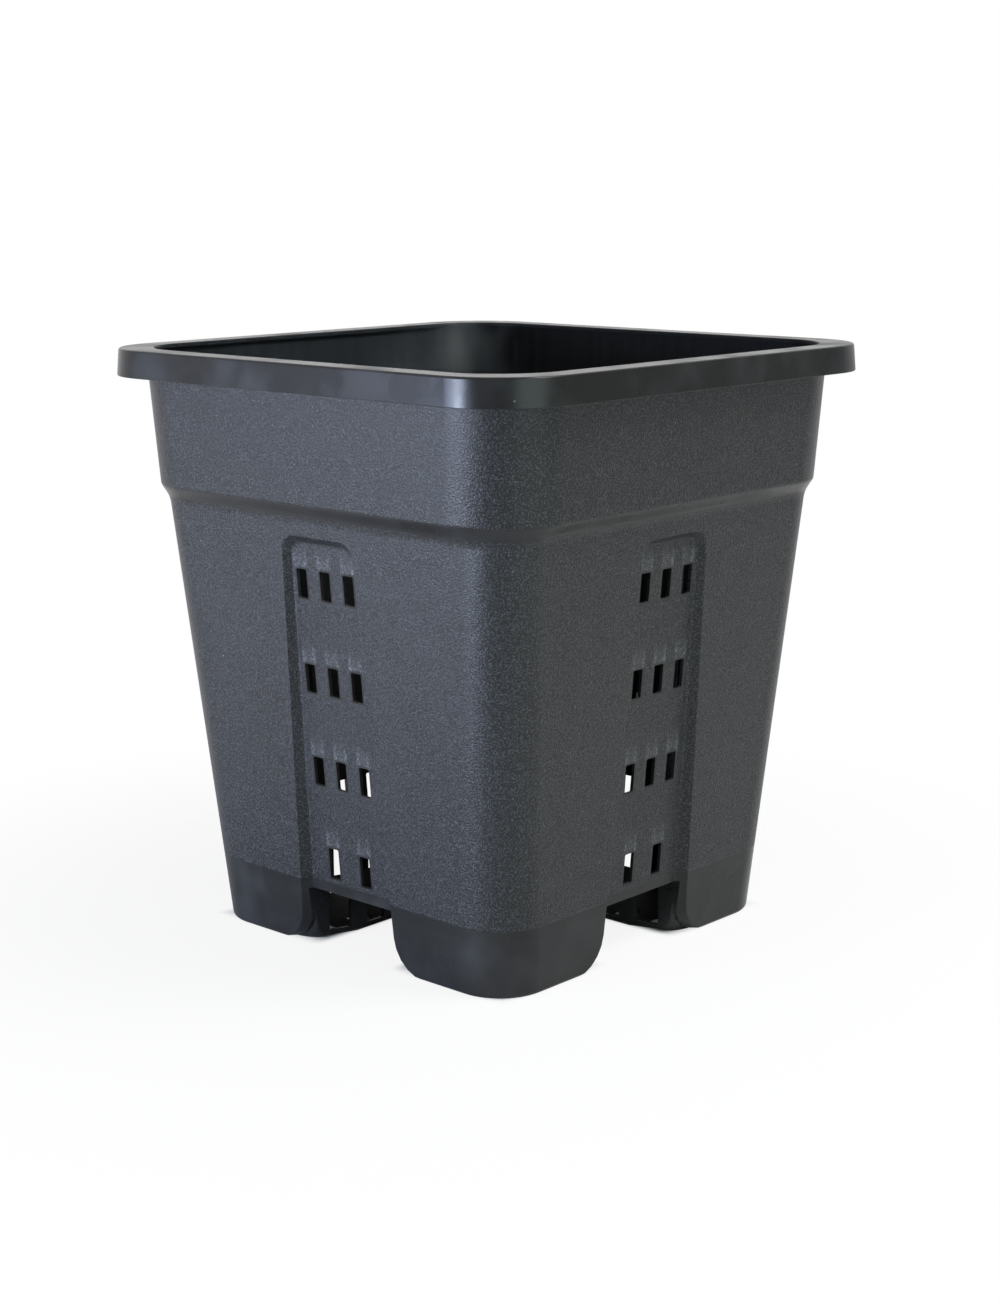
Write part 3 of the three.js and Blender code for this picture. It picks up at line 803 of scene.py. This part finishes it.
def inside_plastic():
    """The pot's inside: smooth, with faint upright streaks from the mould's core, and painted nearly black with
    depth as shade.
    """
    material, tree, shader = new_finish("inside_plastic")
    place = object_place(tree)
    x, y, z = tree.split(place)
    streaks = noise(tree, tree.vector(x * 160.0, y * 160.0, z * 6.0), 1.0, 3.0, 0.6)
    clouds = noise(tree, place, 18.0, 2.0)
    # Painted shade: the colour darkens with depth to nearly black; the same share also roughens the surface.
    depth_shade = 1.0 - tree.ramp(z, 0.08, 0.23)
    tone = (0.3 + 0.6 * (streaks - 0.3)) * (1.0 - depth_shade)
    base = mixed(tree, tree.clamp(tone), SHADED_DEEP_INSIDE, UPPER_INSIDE)
    tree.feed(shader.inputs["Base Color"], base)
    rough = 0.36 + 0.3 * depth_shade + 0.12 * (streaks - 0.5) + 0.08 * (clouds - 0.5)
    tree.feed(shader.inputs["Roughness"], tree.clamp(rough))
    bump = tree.value("ShaderNodeBump", feeds={"Strength": 0.25, "Distance": 0.0002, "Height": streaks})
    tree.feed(shader.inputs["Normal"], bump)
    shader.inputs["Specular IOR Level"].default_value = 0.05
    return material


def dress_pot():
    """Makes the pot's pieces, attaches them to the root, and hides the CAD nodes that they stand for."""
    grained = moulded_plastic("grained_plastic", True, 0.20, 0.32)
    satin = moulded_plastic("satin_plastic", False, 0.46, 0.30)
    polished = moulded_plastic("rim_plastic", False, 0.05, 0.25)
    inside = inside_plastic()
    shell = shell_tree()
    pieces = []

    rim = made("pot_rim", rim_tree(), polished, inside)
    pieces.append((rim, "satin_plastic", ("rim_flange", "rim_lip")))

    collar = made("pot_collar", shell, grained, inside,
                  **{"Zone Low": (-BEYOND, -BEYOND, WALL_TOP), "Zone High": (BEYOND, BEYOND, RIM_UNDERSIDE)})
    pieces.append((collar, "grained_plastic", ("collar", "shoulder")))

    gap_top = SIZES["Gap Height"]
    floor = made("pot_floor", shell, grained, inside,
                 **{"Zone Low": (-PANEL_FACE, -PANEL_FACE, gap_top),
                    "Zone High": (PANEL_FACE, PANEL_FACE, FLOOR_TOP)})
    pieces.append((floor, "grained_plastic", ("raised_floor",)))

    for turn, side in enumerate(("front", "right", "back", "left")):
        low, high = turned_box((-PANEL_HALF, -BEYOND, gap_top), (PANEL_HALF, -PANEL_FACE, WALL_TOP), turn)
        panel = made(f"vent_panel_{side}", shell, grained, inside, **{"Zone Low": low, "Zone High": high})
        pieces.append((panel, "grained_plastic", (f"vent_channel_{side}",)))

    for turn, corner in enumerate(("front_right", "back_right", "back_left", "front_left")):
        low, high = turned_box((0.0, -BEYOND, gap_top), (BEYOND, 0.0, WALL_TOP), turn)
        wall = made(f"pot_wall_{corner}", shell, grained, inside,
                    **{"Zone Low": low, "Zone High": high, "Corner Wall": True})
        pieces.append((wall, "grained_plastic", (f"corner_wall_{corner}",)))
        low, high = turned_box((0.0, -BEYOND, -REACH), (BEYOND, 0.0, gap_top), turn)
        foot = made(f"pot_foot_{corner}", shell, satin, inside, **{"Zone Low": low, "Zone High": high})
        pieces.append((foot, "satin_plastic", (f"foot_{corner}",)))

    for piece, slot, nodes in pieces:
        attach(piece, "root")
        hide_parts(*nodes)
    return [piece for piece, _, _ in pieces]


def turned_box(low, high, quarters):
    """The corners of a box after quarter turns about the upright axis."""
    turn = Matrix.Rotation(quarters * math.pi / 2, 3, "Z")
    ends = [sorted(pair) for pair in zip(turn @ Vector(low), turn @ Vector(high))]
    return tuple(end[0] for end in ends), tuple(end[1] for end in ends)


def dim_side(tree, x, y):
    """The share of white that the studio loses in a direction on its right side, where no wall is near."""
    return 0.95 * tree.ramp(x - 0.2 * y, -0.1, 0.3)


def studio_floor():
    """A plain pale floor that keeps the pot's soft shadow and runs out into white."""
    mesh = bpy.data.meshes.new("studio_floor")
    span = 6.0
    corners = [(x * span, y * span, 0.0) for x, y in ((-1, -1), (1, -1), (1, 1), (-1, 1))]
    mesh.from_pydata(corners, [], [(0, 1, 2, 3)])
    floor = bpy.data.objects.new("studio_floor", mesh)
    bpy.context.collection.objects.link(floor)
    material, tree, shader = new_finish("studio_floor")
    x, y, _ = tree.split(object_place(tree))
    distance = tree.math("SQRT", x * x + y * y)
    shader.inputs["Base Color"].default_value = (0.8, 0.8, 0.8, 1.0)
    shader.inputs["Roughness"].default_value = 0.9
    shader.inputs["Specular IOR Level"].default_value = 0.0
    glow = tree.node("ShaderNodeEmission")
    ray = tree.node("ShaderNodeLightPath")
    camera_ray = Field(tree, ray.outputs["Is Camera Ray"])
    mirror_ray = tree.math("MAXIMUM", Field(tree, ray.outputs["Is Glossy Ray"]),
                           Field(tree, ray.outputs["Is Transmission Ray"]))
    across = tree.math("ABSOLUTE", x)
    along = tree.math("ABSOLUTE", y)
    under_feet = tree.ramp(tree.math("MINIMUM", across, along), 0.024, 0.032) * (
        1.0 - tree.ramp(tree.math("MAXIMUM", across, along), 0.09, 0.105))
    clear = (1.0 - under_feet) * (0.88 + 0.12 * tree.ramp(distance, 0.16, 0.45))
    lit = 1.0 - 0.85 * dim_side(tree, x / distance, y / distance)
    share = camera_ray * clear + mirror_ray * lit * tree.ramp(distance, 0.10, 0.50)
    blend = tree.node("ShaderNodeMixShader")
    tree.feed(blend.inputs[0], share)
    tree.group.links.new(shader.outputs[0], blend.inputs[1])
    tree.group.links.new(glow.outputs[0], blend.inputs[2])
    tree.group.links.new(blend.outputs[0], tree.group.nodes["Material Output"].inputs["Surface"])
    mesh.materials.append(material)


def soft_box(name, place, target, size, power, colour, spread=180):
    """A rectangular studio lamp that looks at a point."""
    lamp = bpy.data.lights.new(name, "AREA")
    lamp.shape = "RECTANGLE"
    lamp.size, lamp.size_y = size
    lamp.energy = power
    lamp.color = colour
    lamp.spread = math.radians(spread)
    stand = bpy.data.objects.new(name, lamp)
    bpy.context.collection.objects.link(stand)
    stand.location = place
    aim = Vector(target) - Vector(place)
    stand.rotation_euler = aim.to_track_quat("-Z", "Y").to_euler()


def studio_light():
    """Cool light from the left, weaker light from the right, two small lamps for the mouth, a white sky."""
    world = bpy.data.worlds.new("studio")
    bpy.context.scene.world = world
    world.use_nodes = True
    tree = Tree(world.node_tree)
    background = world.node_tree.nodes["Background"]
    ray = tree.node("ShaderNodeLightPath")
    x, y, _ = tree.split(tree.value("ShaderNodeTexCoord", out="Generated"))
    mirrored = Field(tree, ray.outputs["Is Glossy Ray"]) * (1.0 - dim_side(tree, x, y))
    seen = tree.math("MAXIMUM", Field(tree, ray.outputs["Is Camera Ray"]), mirrored)
    seen = tree.math("MAXIMUM", seen, Field(tree, ray.outputs["Is Transmission Ray"]))
    tree.feed(background.inputs["Strength"], 0.35 + 0.65 * seen)
    background.inputs["Color"].default_value = (1.0, 1.0, 1.0, 1.0)
    soft_box("left_soft_box", (-0.58, -1.65, 0.22), (0.0, 0.0, 0.22), (1.0, 0.42), 22.5, (0.58, 0.70, 1.0))
    soft_box("window_strip", (-0.42, -1.75, 0.17), (0.0, 0.0, 0.20), (0.34, 0.32), 23.0, (0.74, 0.83, 1.0))
    soft_box("garden_fill", (1.75, -0.30, 0.50), (0.0, 0.0, 0.12), (1.3, 0.9), 10.0, (0.76, 1.0, 0.92))
    soft_box("right_top_light", (0.75, 0.25, 1.20), (0.50, 0.10, 0.0), (0.5, 0.5), 14.0, (1.0, 1.0, 0.98))
    soft_box("mouth_light", (0.57, 0.0, 0.85), (-0.12, -0.03, 0.275), (0.22, 0.14), 0.095,
             (0.74, 0.90, 1.0), spread=15)
    soft_box("rear_corner_light", (1.135, 0.034, 0.605), (-0.125, 0.10, 0.29), (0.06, 0.06), 0.023,
             (1.0, 1.0, 1.0), spread=4)


def set_camera():
    """The camera as fitted to the photograph, in the pot's own frame."""
    azimuth, pitch, roll = 0.7410, 0.2109, 0.0036
    level = math.cos(pitch)
    forward = Vector((-math.sin(azimuth) * level, math.cos(azimuth) * level, -math.sin(pitch)))
    level_right = Vector((math.cos(azimuth), math.sin(azimuth), 0.0))
    level_down = forward.cross(level_right)
    right = level_right * math.cos(roll) + level_down * math.sin(roll)
    down = level_down * math.cos(roll) - level_right * math.sin(roll)
    lens = bpy.data.cameras.new("camera")
    lens.lens = 61.99
    lens.sensor_width = 36.0
    lens.sensor_fit = "AUTO"
    lens.clip_start = 0.01
    camera = bpy.data.objects.new("camera", lens)
    bpy.context.collection.objects.link(camera)
    turn = Matrix((right, -down, -forward)).transposed().to_4x4()
    camera.matrix_world = Matrix.Translation((0.77680, -0.84113, 0.38626)) @ turn
    bpy.context.scene.camera = camera


set_camera()
dress_pot()
studio_floor()
studio_light()
bpy.context.scene.view_settings.view_transform = "Standard"
